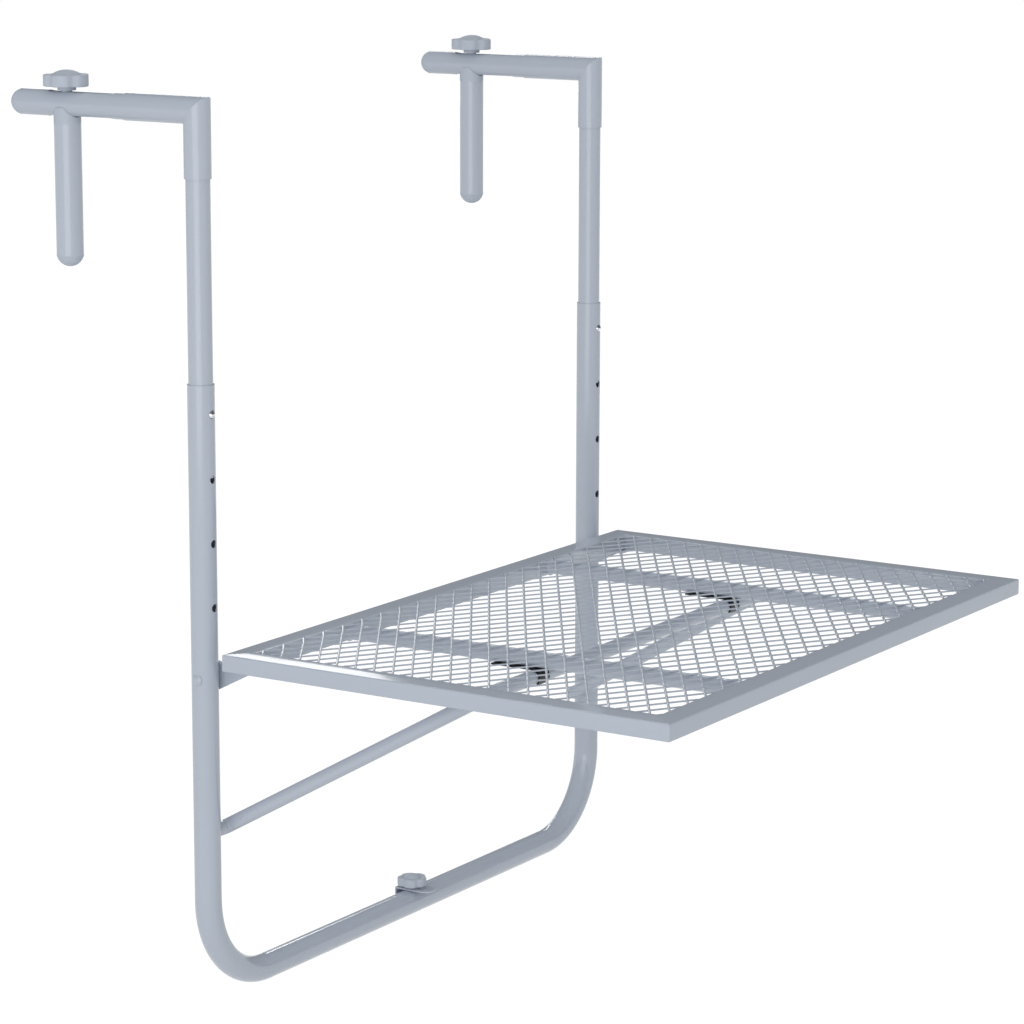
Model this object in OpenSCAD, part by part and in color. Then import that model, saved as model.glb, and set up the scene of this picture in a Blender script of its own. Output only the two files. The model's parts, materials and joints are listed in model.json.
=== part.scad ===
// Folding table that hangs on a balcony railing.
// X runs along the railing, the tabletop reaches to -Y and the hooks reach to +Y, over the railing.
// The origin is the inner corner of the hooks: the back of the posts and the underside of the elbows.

/* [Tubes] */
// Outside diameter of the lower frame, the elbows and the pegs
post_d = 21.5; // [18:0.5:30]
// Wall of these tubes
post_wall = 1; // [0.8:0.1:1.4]
// Running clearance of an inner post in its outer tube, all round
slide_gap = 0.08; // [0.02:0.02:0.1]
// Wall of the inner posts and the hook arms
inner_wall = 1; // [0.8:0.1:1.4]
// Outside diameter of the hook arms
arm_d = 20.4; // [19.6:0.1:21]
// Distance between the two post axes
post_span = 578; // [480:2:700]

/* [Hooks] */
// Length of an elbow's lower sleeve, from the corner of the axes
elbow_down = 52; // [40:1:70]
// Length of an elbow's level sleeve, from the corner of the axes
elbow_out = 68; // [50:1:80]
// Distance from the post axis to the open end of the arm
arm_reach = 171; // [165:0.5:240]
// Distance from the post axis to the inner end of the arm's spigot
spigot_start = 13; // [12:0.5:20]
// Distance from the elbow's corner of the axes down to the top of the inner post
inner_top_drop = 13; // [12:0.5:20]
// Length of the straight plug of an end cap
cap_plug = 8; // [5:1:15]
// Height of an end cap's straight lip
cap_lip = 1.2; // [0.6:0.2:3]
// Step from an end cap's lip in to its dome
cap_step = 0.2; // [0.1:0.1:1]
// Height of an end cap's dome
cap_dome = 8.4; // [5:0.2:9]
// Distance from the post axis to the peg, as it is clamped at rest
peg_y = 127; // [120:1:135]
// Level of the lower end of the peg tube, under the arm axis
peg_drop = 118; // [90:1:160]
// Level of the seam between the peg tube and its saddle, under the arm axis
saddle_drop = 15.5; // [14:0.5:20]
// Level of the tips of the saddle, under the arm axis
saddle_tip = 2.8; // [2:0.2:6]
// Length of the saddle's plug in the peg
saddle_plug = 14; // [10:1:24]
// Clearance between the saddle and the arm
saddle_gap = 0.2; // [0.1:0.05:0.3]

/* [Clamp slot and stud] */
// Diameter of the clamp stud
stud_d = 8; // [6:1:10]
// Clearance of the stud in the slot, each side
slot_gap = 0.3; // [0.2:0.1:0.6]
// Way that the clamp can move outwards from rest
clamp_out = 13; // [8:1:15]
// Way that the clamp can move towards the post from rest
clamp_in = 45; // [20:1:46]
// Width across the flats of the nut in the saddle
nut_flats = 13; // [11:0.5:15]
// Height of the nut in the saddle
nut_h = 6.5; // [5:0.5:8]
// Length of the stud past the nut
stud_end = 2; // [1:0.5:6]

/* [Clamp knobs] */
// Diameter over the lobes
knob_d = 36.8; // [30:0.1:44]
// Diameter of each lobe
knob_lobe_d = 23.6; // [18:0.2:25]
// Height of the lobes
knob_h = 9.5; // [8:0.5:16]
// Radius of the lobes' upper edges
knob_edge = 1; // [0.4:0.2:2]
// Diameter of the domed cover on the knob
knob_dome_d = 24; // [16:1:26]
// Height of the domed cover
knob_dome_h = 3.5; // [2:0.5:6]
// Diameter of the collar under the knob
knob_collar_d = 15; // [12:1:18]
// Height of the collar
knob_collar_h = 3; // [1:0.2:4]
// Number of lobes
knob_lobes = 5; // [5:1:7]
// Turn of the knob at rest, in degrees
knob_turn = 57; // [0:1:71]
// Thickness of knob over the end of its stud
knob_roof = 2; // [1:0.5:3]

/* [Height adjustment] */
// Level of the top of the outer tubes, under the elbows
tube_top_drop = 200; // [150:1:260]
// Distance from the top of the outer tube to the snap button
button_drop = 23; // [15:1:40]
// Distance between the button holes
hole_pitch = 51; // [40:1:51]
// Number of button holes in each tube
hole_count = 4; // [2:1:4]
// Diameter of the button holes
button_hole_d = 6.6; // [5.5:0.1:8]
// Clearance round the button in its hole
button_gap = 0.1; // [0.1:0.05:0.3]
// Stand of the button out of the tube
button_out = 2; // [1.5:0.5:4]
// Length of the inner post under the button
post_tail = 50; // [44:1:50]
// Thickness of the button spring
spring_t = 0.8; // [0.5:0.1:1]
// Width of the button spring
spring_w = 8; // [6:1:10]
// Length of each leaf of the button spring
spring_len = 37; // [34:1:38]
// Distance from the button down to the spring's bend
spring_drop = 30; // [26:1:32]
// Radius of the spring's bend
spring_bend = 3; // [2:0.5:4]

/* [Lower frame] */
// Level of the axis of the bottom bar
bar_drop = 690; // [620:5:800]
// Radius of the bends, on the tube axis
frame_bend = 75; // [50:5:110]

/* [Tabletop] */
// Width of the tabletop
top_w = 600; // [500:5:720]
// Depth of the tabletop
top_depth = 401.5; // [340:0.5:480]
// Level of the tabletop under the origin
top_drop = 409; // [380:1:430]
// Gap between the posts and the tabletop
top_gap = 14.5; // [12:0.5:20]
// Width of the rim tube
rim_w = 20; // [16:1:26]
// Height of the rim tube
rim_h = 14; // [13.8:0.2:18]
// Wall of the rim tube
rim_wall = 1.2; // [1:0.1:2]
// Radius of the rim tube's outer edges
rim_edge = 1; // [0.4:0.1:1]
// Distance from the rim's top to the mesh
mesh_inset = 0.1; // [0:0.1:1]
// Length of the mesh diamonds, along the railing
mesh_long = 27; // [22:0.5:40]
// Width of the mesh diamonds
mesh_short = 17.4; // [14:0.2:26]
// Distance from the opening's rear edge to the first row of crossings
mesh_start = 0.2; // [-8:0.1:8]
// Sideways shift of the crossings from the middle of the tabletop
mesh_shift = -2; // [-13:0.5:13]
// Width of a mesh strand
strand_w = 2; // [1.2:0.1:2.4]
// Thickness of one layer of strands
strand_t = 0.8; // [0.4:0.1:0.9]
// Distance between the rails under the mesh
rail_span = 308; // [240:4:360]
// Diameter of the rails
rail_d = 12; // [10:0.5:12]
// Wall of the rails
rail_wall = 1.2; // [1:0.1:2]

/* [Table pivots] */
// Height of the tabletop's underside over the pivots
pivot_rise = 10.3; // [10:0.1:12]
// Diameter of the pivot bolts
pivot_d = 5; // [4:0.5:6]
// Clearance of a moving hole round its pivot bolt
pivot_gap = 0.08; // [0.04:0.02:0.1]
// Clearance of a hole round a bolt or stud
bolt_gap = 0.08; // [0.04:0.02:0.1]
// Diameter of the bolt's domed head
pivot_head_d = 9; // [8:0.5:11]
// Height of the domed head
pivot_head_h = 1.4; // [1:0.1:2.5]
// Diameter of the spacer washer
spacer_d = 10; // [9:0.5:12]
// Thickness of the spacer washer
spacer_t = 0.8; // [0.6:0.1:1.5]
// Thickness of the hinge bracket
bracket_t = 3; // [2:0.2:4]
// Radius of the bracket round the pivot
bracket_r = 12; // [9:0.5:13]
// Distance from the pivot to the front end of the bracket
bracket_len = 46; // [38:1:60]
// Thickness of the bracket's flange under the rim
flange_t = 2.5; // [2:0.1:3]
// Distance from the rim's rear edge to the flange
flange_set = 1.5; // [0.5:0.5:5]
// Width across the flats of the pivot nut
pivot_nut_flats = 8; // [7:0.5:10]
// Height of the pivot nut
pivot_nut_h = 4; // [3:0.5:6]
// Length of the bolt past its nut
pivot_end = 1; // [0.5:0.5:3]
// Clearance between parts that turn past each other
side_gap = 0.3; // [0.2:0.05:0.5]

/* [Brace] */
// Diameter of the brace tube
brace_d = 12; // [10:0.5:13]
// Wall of the brace tube
brace_wall = 1.2; // [1:0.1:2]
// Level of the brace's feet under the table pivots
foot_drop = 126.7; // [120:0.1:140]
// Distance from the post axis to the brace's crossbar
brace_reach = 222.7; // [200:0.1:250]
// Distance from a post axis to the leg's axis at its foot
foot_in = 25.5; // [22:0.5:34]
// Distance from a post axis to the end of the foot in the post
foot_end = 2; // [1:0.5:4]
// Way that a leg leans in from its foot to the crossbar
leg_lean = 48; // [20:1:60]
// Radius of the bends at the feet, on the tube axis
foot_bend = 7.5; // [7:0.5:9]
// Radius of the bends at the crossbar, on the tube axis
brace_bend = 22; // [16:1:40]
// Clearance of the foot in the post's hole, all round
foot_gap = 0.08; // [0.04:0.02:0.1]

/* [Hook clips] */
// Width of a hook clip
clip_w = 15; // [10:1:20]
// Thickness of the clip
clip_t = 1.2; // [1:0.1:1.8]
// Length of the strap behind the crossbar
clip_len = 38; // [25:1:60]
// Clearance of the clip round the crossbar
clip_gap = 0.3; // [0.2:0.05:0.5]
// Wrap of the clip past the front of the crossbar, in degrees
clip_wrap = 45; // [20:5:60]
// Distance from the crossbar to the rivet
rivet_back = 30.5; // [16:0.5:32]
// Diameter of the clip rivets
rivet_d = 4; // [3:0.2:5]
// Diameter of the rivet heads
rivet_head_d = 8; // [6:0.5:10]
// Height of the rivet heads
rivet_head_h = 1.4; // [0.8:0.2:2]
// Length of the rivet inside the rail
rivet_end = 1.5; // [1:0.5:3]

/* [Railing stop] */
// Width of the stop plate
stop_w = 17; // [16:1:26]
// Thickness of the stop plate
stop_t = 1.2; // [1:0.1:2]
// Distance from the bar axis to the front end of the plate
stop_front = 22; // [18:1:30]
// Length of the plate's turned-down flange
stop_flange = 24; // [14:1:32]
// Way that the stop can slide out
stop_out = 10; // [4:1:12]
// Diameter of the stop stud
stop_stud_d = 6; // [5:1:8]
// Length of the stud under the plate
stop_stud_len = 11; // [9:0.5:15]
// Outside diameter of the threaded insert
insert_d = 8; // [7.5:0.5:10]
// Height of the threaded insert
insert_h = 7.5; // [5:0.5:9]
// Depth of the insert's top under the top of the bar
insert_set = 0.5; // [0.2:0.1:1]
// Diameter of the stop knob over the lobes
stop_knob_d = 25.6; // [22:0.2:30]
// Diameter of each lobe of the stop knob
stop_lobe_d = 16; // [12:0.5:18]
// Number of lobes on the stop knob
stop_lobes = 5; // [5:1:7]
// Height of the lobes of the stop knob
stop_knob_h = 7; // [6:0.2:10]
// Radius of the lobes' upper edges on the stop knob
stop_edge = 0.7; // [0.3:0.1:1.5]
// Height of the collar under the stop knob
stop_collar_h = 1.9; // [0.3:0.1:3]
// Diameter of the stop knob's dome
stop_dome_d = 15; // [12:0.5:16]
// Height of the stop knob's dome
stop_dome_h = 3; // [2:0.5:5]
// Turn of the stop knob at rest, in degrees
stop_turn = 59; // [0:1:71]

/* [Hidden] */
$fn = 64;
past = 1;
// A bend is this much wider than its tube, and the straight ends reach this far into it
bend_swell = 0.1;
bend_seat = 0.1;
paint = [0.70, 0.73, 0.78];
plastic = [0.66, 0.69, 0.73];
steel = [0.80, 0.81, 0.82];
black = [0.06, 0.06, 0.07];

post_r = post_d / 2;
post_x = post_span / 2;
post_y = -post_r;
arm_z = post_r;
bore_d = post_d - 2 * post_wall;
inner_d = bore_d - 2 * slide_gap;
tube_top = -tube_top_drop;
button_z = tube_top - button_drop;
bar_z = -bar_drop;
stud_y = post_y + peg_y;
slot_w = stud_d + 2 * slot_gap;
saddle_r = arm_d / 2 + saddle_gap;
inner_bore = inner_d - 2 * inner_wall;
spring_reach = sqrt(inner_bore * inner_bore - spring_w * spring_w) / 2 - slide_gap;
spring_lean = asin((spring_reach - spring_bend - spring_t / 2) / spring_len);

top_z = -top_drop;
rim_bottom = top_z - rim_h;
top_rear = -post_d - top_gap;
top_front = top_rear - top_depth;
mesh_z = top_z - mesh_inset;
rail_z = mesh_z - 2 * strand_t - rail_d / 2;
open_w = top_w - 2 * rim_w;
open_depth = top_depth - 2 * rim_w;
pivot_z = rim_bottom - pivot_rise;
web_x = post_x - post_r - spacer_t - side_gap;
pivot_nut_x = web_x - bracket_t - side_gap;

foot_z = pivot_z - foot_drop;
foot_x = post_x - foot_in;
cross_y = post_y - brace_reach;
cross_z = rail_z - rail_d / 2 - clip_t - clip_gap - brace_d / 2;
rivet_y = cross_y + rivet_back;
brace_angle = atan2(cross_z - foot_z, brace_reach);
leg_rise = norm([brace_reach, cross_z - foot_z]);
stub_x = post_x - foot_end;

stop_z = bar_z + post_r + side_gap;

// Puts a part that is drawn at a post's axis on the left (-1) or right (1) post
module at_post(side) translate([side * post_x, post_y, 0]) children();

// Mirrors a part that is drawn for the right side onto the left side
module on_side(side) mirror([side < 0 ? 1 : 0, 0, 0]) children();

// Lays something drawn along +Z along +Y
module along_y() rotate([-90, 0, 0]) children();

// Lays something drawn along +Z along +X
module along_x() rotate([0, 90, 0]) children();

// Stands a profile drawn in Y and Z up, and gives it a width along X
module profile_yz(w) rotate([90, 0, 90]) linear_extrude(w, center = true) children();

module tube(d, wall, h) {
    difference() {
        cylinder(d = d, h = h);
        translate([0, 0, -past]) cylinder(d = d - 2 * wall, h = h + 2 * past);
    }
}

// Low dome of a given base and height, its flat side at Z 0
module dome(d, h) {
    r = (d * d / 4 + h * h) / (2 * h);
    intersection() {
        translate([0, 0, h - r]) sphere(r = r);
        cylinder(r = 2 * r, h = h + past);
    }
}

module hexagon(flats, h) cylinder(d = flats / cos(30), h = h, $fn = 6);

// Round bar bent in the XY plane through the corners of a path, with a radius for each corner
function leg_dir(path, i) = (path[i + 1] - path[i]) / norm(path[i + 1] - path[i]);
function bend_angle(path, i) = acos(leg_dir(path, i - 1) * leg_dir(path, i));
function is_corner(path, i) = i > 0 && i < len(path) - 1;
function setback(path, radii, i) = is_corner(path, i) ? radii[i] * tan(bend_angle(path, i) / 2) : 0;
function longer(path, by) = [
    for (i = [0 : len(path) - 1])
        i == 0 ? path[0] - by * leg_dir(path, 0)
        : i == len(path) - 1 ? path[i] + by * leg_dir(path, i - 1)
        : path[i]
];

module straight(from, to, d, seat_from, seat_to) {
    way = to - from;
    start = from - seat_from * way / norm(way);
    translate([start.x, start.y, 0]) rotate([0, 0, atan2(way.y, way.x)]) along_x()
        cylinder(d = d, h = norm(way) + seat_from + seat_to);
}

module bend(path, radii, i, d) {
    way = leg_dir(path, i - 1);
    hand = sign(cross(way, leg_dir(path, i)));
    inward = hand * [-way.y, way.x];
    centre = path[i] - way * setback(path, radii, i) + inward * radii[i];
    first = atan2(-inward.y, -inward.x);
    turn = bend_angle(path, i);
    translate([centre.x, centre.y, 0])
        rotate([0, 0, hand > 0 ? first : first - turn])
            rotate_extrude(angle = turn) translate([radii[i], 0]) circle(d = d + bend_swell);
}

module bent_bar(path, radii, d) {
    for (i = [0 : len(path) - 2]) {
        way = leg_dir(path, i);
        straight(path[i] + way * setback(path, radii, i), path[i + 1] - way * setback(path, radii, i + 1), d,
            is_corner(path, i) ? bend_seat : 0, is_corner(path, i + 1) ? bend_seat : 0);
    }
    for (i = [1 : len(path) - 2]) bend(path, radii, i, d);
}

// Mitred elbow: a lower sleeve over the inner post and a level sleeve over the arm
module mitre_half(level) {
    size = 4 * elbow_out;
    translate([0, -post_r, arm_z]) rotate([level ? -45 : 135, 0, 0])
        translate([-size / 2, -size / 2, 0]) cube(size);
}

module elbow_bar(d, extra) {
    intersection() {
        translate([0, 0, -elbow_down + arm_z - extra]) cylinder(d = d, h = elbow_down + post_d + extra);
        translate([0, post_r, 0]) mitre_half(false);
    }
    intersection() {
        translate([0, -post_d, arm_z]) along_y() cylinder(d = d, h = elbow_out + post_d + extra);
        translate([0, post_r, 0]) mitre_half(true);
    }
}

module elbow(side) {
    color(paint) at_post(side) difference() {
        intersection() {
            elbow_bar(post_d, 0);
            translate([-post_r, -post_d, arm_z - elbow_down])
                cube([post_d, elbow_out + post_d, elbow_down + post_d]);
        }
        elbow_bar(bore_d, past);
    }
}

// Hook arm: swaged down to slide into the elbow, with a slot through its top and bottom
module arm(side) {
    shoulder = elbow_out;
    spigot = shoulder - spigot_start;
    slot_in = peg_y - clamp_in;
    slot_out = peg_y + clamp_out;
    color(paint) at_post(side) translate([0, 0, arm_z]) difference() {
        union() {
            translate([0, shoulder - spigot, 0]) along_y() cylinder(d = inner_d, h = spigot + inner_wall);
            translate([0, shoulder, 0]) along_y() cylinder(d = arm_d, h = arm_reach - shoulder);
        }
        translate([0, shoulder - spigot - past, 0]) along_y()
            cylinder(d = inner_bore, h = spigot + past + 2 * inner_wall);
        translate([0, shoulder + inner_wall, 0]) along_y()
            cylinder(d = arm_d - 2 * inner_wall, h = arm_reach - shoulder + past);
        translate([0, 0, -arm_d]) linear_extrude(2 * arm_d) {
            translate([0, slot_in]) circle(d = slot_w);
            translate([0, slot_out]) circle(d = slot_w);
            translate([-slot_w / 2, slot_in]) square([slot_w, slot_out - slot_in]);
        }
    }
}

// Domed plastic cap: the plug is in the tube, and the lip and the dome stand on its end
module end_cap(d, wall) {
    translate([0, 0, -cap_plug]) cylinder(d = d - 2 * wall - 2 * slide_gap, h = cap_plug + cap_lip);
    cylinder(d = d, h = cap_lip);
    translate([0, 0, cap_lip]) dome(d - 2 * cap_step, cap_dome);
}

module arm_cap(side) {
    color(plastic) at_post(side) translate([0, arm_reach, arm_z]) along_y() end_cap(arm_d, inner_wall);
}

module inner_post(side) {
    foot = button_z - post_tail;
    top = arm_z - inner_top_drop;
    color(paint) at_post(side) difference() {
        translate([0, 0, foot]) tube(inner_d, inner_wall, top - foot);
        translate([0, 0, button_z]) rotate([90, 0, 0]) cylinder(d = button_hole_d, h = post_d);
    }
}

// Snap button: a steel pin with a round nose, pushed out through both tubes by its spring
module button(side) {
    d = button_hole_d - 2 * button_gap;
    nose = post_r + button_out - d / 2;
    seat = (spring_bend + spring_t / 2) / cos(spring_lean) + (spring_drop + d / 2) * tan(spring_lean) + slide_gap;
    color(steel) at_post(side) translate([0, 0, button_z]) rotate([90, 0, 0]) intersection() {
        union() {
            cylinder(d = d, h = nose);
            translate([0, 0, nose]) sphere(d = d);
        }
        translate([0, 0, seat]) cylinder(d = 2 * d, h = post_d);
    }
}

// Button spring: two leaves that lean out from a round bend until their edges meet the post's bore
module button_spring(side) {
    color(steel) at_post(side) translate([0, 0, button_z - spring_drop]) {
        profile_yz(spring_w) difference() {
            circle(r = spring_bend + spring_t / 2);
            circle(r = spring_bend - spring_t / 2);
            polygon([[0, 0], for (a = [-spring_lean, 90, 180 + spring_lean]) 3 * spring_bend * [cos(a), sin(a)]]);
        }
        for (hand = [0, 1]) mirror([0, hand, 0]) profile_yz(spring_w)
            rotate(-spring_lean) translate([spring_bend - spring_t / 2, -bend_seat]) square([spring_t, spring_len]);
    }
}

// Peg that hooks behind the railing
module peg(side) {
    h = peg_drop - saddle_drop;
    color(paint) at_post(side) translate([0, peg_y, arm_z - peg_drop]) tube(post_d, post_wall, h);
}

// Saddle: plugs the top of the peg, is coped to the arm and holds the nut
module peg_saddle(side) {
    hollow = saddle_drop + saddle_plug + past;
    color(plastic) at_post(side) translate([0, peg_y, arm_z]) difference() {
        union() {
            translate([0, 0, -saddle_drop]) cylinder(d = post_d, h = saddle_drop - saddle_tip);
            translate([0, 0, -saddle_drop - saddle_plug])
                cylinder(d = bore_d - 2 * slide_gap, h = saddle_plug + saddle_drop - saddle_tip);
        }
        translate([0, -post_d, 0]) along_y() cylinder(r = saddle_r, h = 2 * post_d);
        translate([0, 0, -hollow]) cylinder(d = stud_d + 2 * bolt_gap, h = hollow);
        translate([0, 0, -hollow]) hexagon(nut_flats + 2 * bolt_gap, nut_h + past + bolt_gap);
    }
}

module saddle_nut(side) {
    color(steel) at_post(side) translate([0, peg_y, arm_z - saddle_drop - saddle_plug]) difference() {
        hexagon(nut_flats, nut_h);
        translate([0, 0, -past]) cylinder(d = stud_d + 2 * bolt_gap, h = nut_h + 2 * past);
    }
}

module peg_cap(side) {
    color(plastic) at_post(side) translate([0, peg_y, arm_z - peg_drop]) rotate([180, 0, 0]) end_cap(post_d, post_wall);
}

// Star knob with round lobes, rounded upper edges and a domed cover, over a collar
module rounded_disc(d, h, edge) {
    cylinder(d = d, h = h - edge);
    cylinder(d = d - 2 * edge, h = h);
    translate([0, 0, h - edge]) rotate_extrude() translate([d / 2 - edge, 0]) circle(r = edge);
}

module star_knob(d, lobes, lobe_d, h, edge, dome_d, dome_h, collar_d, collar_h, bore) {
    difference() {
        union() {
            cylinder(d = collar_d, h = collar_h + edge);
            translate([0, 0, collar_h]) intersection() {
                linear_extrude(h) {
                    circle(d = d - lobe_d / 2);
                    for (i = [0 : lobes - 1]) rotate(i * 360 / lobes)
                        translate([d / 2 - lobe_d / 2, 0]) circle(d = lobe_d);
                }
                rounded_disc(d, h, edge);
            }
            translate([0, 0, collar_h + h]) dome(dome_d, dome_h);
        }
        translate([0, 0, -past]) cylinder(d = bore, h = collar_h + h - knob_roof + past);
    }
}

module clamp_knob(side) {
    color(plastic) at_post(side) translate([0, peg_y, arm_z + saddle_r]) rotate([0, 0, knob_turn])
        star_knob(knob_d, knob_lobes, knob_lobe_d, knob_h, knob_edge, knob_dome_d, knob_dome_h,
            knob_collar_d, knob_collar_h, stud_d);
}

// Stud moulded into the knob; it passes the slot and screws into the nut
module clamp_stud(side) {
    top = saddle_r + knob_collar_h + knob_h - knob_roof;
    low = -saddle_drop - saddle_plug - stud_end;
    color(steel) at_post(side) translate([0, peg_y, arm_z + low]) cylinder(d = stud_d, h = top - low);
}

// Lower frame: one tube bent into a U, with the button holes, pivot holes, foot holes and stop hole
module lower_frame() {
    path = [[-post_x, tube_top], [-post_x, bar_z], [post_x, bar_z], [post_x, tube_top]];
    radii = [0, frame_bend, frame_bend, 0];
    color(paint) translate([0, post_y, 0]) difference() {
        rotate([90, 0, 0]) difference() {
            bent_bar(path, radii, post_d);
            bent_bar(longer(path, past), radii, bore_d);
        }
        for (side = [-1, 1], i = [0 : hole_count - 1])
            translate([side * post_x, 0, button_z - i * hole_pitch]) rotate([90, 0, 0])
                cylinder(d = button_hole_d, h = post_d);
        for (side = [-1, 1]) {
            translate([side * post_x - post_d, 0, pivot_z]) along_x()
                cylinder(d = pivot_d + 2 * bolt_gap, h = 2 * post_d);
            on_side(side) translate([post_x - post_d, 0, foot_z]) along_x()
                cylinder(d = brace_d + 2 * foot_gap, h = post_d);
        }
        translate([0, 0, bar_z]) cylinder(d = insert_d + 2 * bolt_gap, h = post_d);
    }
}

// Pivot bolt: low domed head outside the post, shank through the post, spacer, bracket and nut
module pivot_bolt(side) {
    tip = pivot_nut_x - pivot_nut_h - pivot_end;
    color(paint) on_side(side) translate([0, post_y, pivot_z]) {
        translate([tip, 0, 0]) along_x() cylinder(d = pivot_d, h = post_x + post_r - tip);
        translate([post_x + post_r, 0, 0]) along_x() dome(pivot_head_d, pivot_head_h);
    }
}

module pivot_spacer(side) {
    color(steel) on_side(side) translate([post_x - post_r - spacer_t, post_y, pivot_z]) along_x() difference() {
        cylinder(d = spacer_d, h = spacer_t);
        translate([0, 0, -past]) cylinder(d = pivot_d + 2 * bolt_gap, h = spacer_t + 2 * past);
    }
}

module pivot_nut(side) {
    color(steel) on_side(side) translate([pivot_nut_x - pivot_nut_h, post_y, pivot_z]) along_x() difference() {
        hexagon(pivot_nut_flats, pivot_nut_h);
        translate([0, 0, -past]) cylinder(d = pivot_d + 2 * bolt_gap, h = pivot_nut_h + 2 * past);
    }
}

// Rim tube along X, mitred at both ends, with its outer face on the X axis and its top at Z 0
module rim_profile() {
    for (y = [rim_edge, rim_w - rim_edge], z = [rim_edge, rim_h - rim_edge]) translate([y, z]) circle(r = rim_edge);
    translate([rim_edge, 0]) square([rim_w - 2 * rim_edge, rim_h]);
    translate([0, rim_edge]) square([rim_w, rim_h - 2 * rim_edge]);
}

module rim_tube(len) {
    intersection() {
        translate([0, 0, -rim_h]) difference() {
            profile_yz(2 * len) rim_profile();
            profile_yz(3 * len) translate([rim_wall, rim_wall]) square([rim_w - 2 * rim_wall, rim_h - 2 * rim_wall]);
        }
        translate([0, 0, -2 * rim_h]) linear_extrude(3 * rim_h)
            polygon([[-len / 2, 0], [len / 2, 0], [len / 2 - rim_w, rim_w], [-len / 2 + rim_w, rim_w]]);
    }
}

module rim_front() color(paint) translate([0, top_front, top_z]) rim_tube(top_w);

module rim_rear() color(paint) translate([0, top_rear, top_z]) rotate([0, 0, 180]) rim_tube(top_w);

module rim_side(side) {
    color(paint) on_side(side) translate([top_w / 2, (top_front + top_rear) / 2, top_z]) rotate([0, 0, 90])
        rim_tube(top_depth);
}

// One layer of the diamond mesh: slanting strands cut to the opening of the rim
module strands(hand) {
    slope = atan2(mesh_short, mesh_long);
    reach = open_w + open_depth;
    count = ceil(reach / mesh_long);
    intersection() {
        translate([-open_w / 2, -open_depth]) square([open_w, open_depth]);
        for (i = [-count : count]) translate([mesh_shift + i * mesh_long, -mesh_start]) rotate(hand * slope)
            translate([-reach, -strand_w / 2]) square([2 * reach, strand_w]);
    }
}

module mesh_layer(hand, z) {
    color(paint) translate([0, top_rear - rim_w, z]) linear_extrude(strand_t) strands(hand);
}

module rail(side) {
    color(paint) translate([side * rail_span / 2, top_front + rim_w, rail_z]) along_y() difference() {
        tube(rail_d, rail_wall, open_depth);
        translate([0, 0, rivet_y - top_front - rim_w]) rotate([-90, 0, 0])
            cylinder(d = rivet_d + 2 * bolt_gap, h = rail_d);
    }
}

// Hinge bracket: an upright web that turns on the pivot bolt, and a flange under the rim
module bracket_web() {
    tip = [-bracket_len, pivot_rise];
    way = atan2(tip.y, tip.x) + acos(bracket_r / norm(tip));
    difference() {
        union() {
            circle(r = bracket_r);
            polygon([[0, 0], bracket_r * [cos(way), sin(way)], tip, [0, pivot_rise]]);
        }
        circle(d = pivot_d + 2 * pivot_gap);
    }
}

module hinge_bracket(side) {
    flange_rear = top_rear - flange_set;
    flange_front = post_y - bracket_len;
    flange_out = top_w / 2 - rim_w / 2;
    color(paint) on_side(side) {
        translate([web_x - bracket_t / 2, post_y, pivot_z]) profile_yz(bracket_t) bracket_web();
        translate([web_x - bracket_t, flange_front, rim_bottom - flange_t])
            cube([flange_out - web_x + bracket_t, flange_rear - flange_front, flange_t]);
    }
}

// Hook clip: a strap under the rail that curls down round the front of the brace's crossbar
module hook_clip(side) {
    inner = brace_d / 2 + clip_gap;
    outer = inner + clip_t;
    far = 4 * outer;
    color(black) translate([side * rail_span / 2, 0, 0]) difference() {
        translate([0, cross_y, cross_z]) profile_yz(clip_w) {
            difference() {
                circle(r = outer);
                circle(r = inner);
                polygon([[0, 0], [0, far], [far, far], [far, -far], -far * [cos(clip_wrap), sin(clip_wrap)]]);
            }
            translate([0, inner]) square([clip_len, clip_t]);
        }
        translate([0, rivet_y, cross_z]) cylinder(d = rivet_d + 2 * bolt_gap, h = rail_d);
    }
}

module clip_rivets() {
    strap_low = rail_z - rail_d / 2 - clip_t;
    color(black) for (side = [-1, 1])
        translate([side * rail_span / 2, rivet_y, strap_low]) {
            cylinder(d = rivet_d, h = clip_t + rail_wall + rivet_end);
            rotate([180, 0, 0]) dome(rivet_head_d, rivet_head_h);
        }
}

// Brace: one tube bent into a splayed U, with its ends turned out into the posts
module brace() {
    path = [
        [-stub_x, 0], [-foot_x, 0], [-foot_x + leg_lean, leg_rise],
        [foot_x - leg_lean, leg_rise], [foot_x, 0], [stub_x, 0]
    ];
    radii = [0, foot_bend, brace_bend, brace_bend, foot_bend, 0];
    $fn = 40;
    color(paint) translate([0, post_y, foot_z]) rotate([180 - brace_angle, 0, 0]) difference() {
        bent_bar(path, radii, brace_d);
        bent_bar(longer(path, past), radii, brace_d - 2 * brace_wall);
    }
}

// Railing stop: a slotted plate on the bottom bar with a flange turned down behind it
module stop_plate() {
    slot = stop_stud_d + 2 * slot_gap;
    flange_y = post_r + side_gap;
    color(paint) translate([0, post_y, stop_z]) {
        difference() {
            union() {
                translate([-stop_w / 2, -stop_front + stop_w / 2, 0])
                    cube([stop_w, stop_front - stop_w / 2 + flange_y + stop_t, stop_t]);
                translate([0, -stop_front + stop_w / 2, 0]) cylinder(d = stop_w, h = stop_t);
            }
            translate([0, 0, -past]) linear_extrude(stop_t + 2 * past) {
                circle(d = slot);
                translate([0, -stop_out]) circle(d = slot);
                translate([-slot / 2, -stop_out]) square([slot, stop_out]);
            }
        }
        translate([-stop_w / 2, flange_y, stop_t - stop_flange]) cube([stop_w, stop_t, stop_flange]);
    }
}

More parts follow.
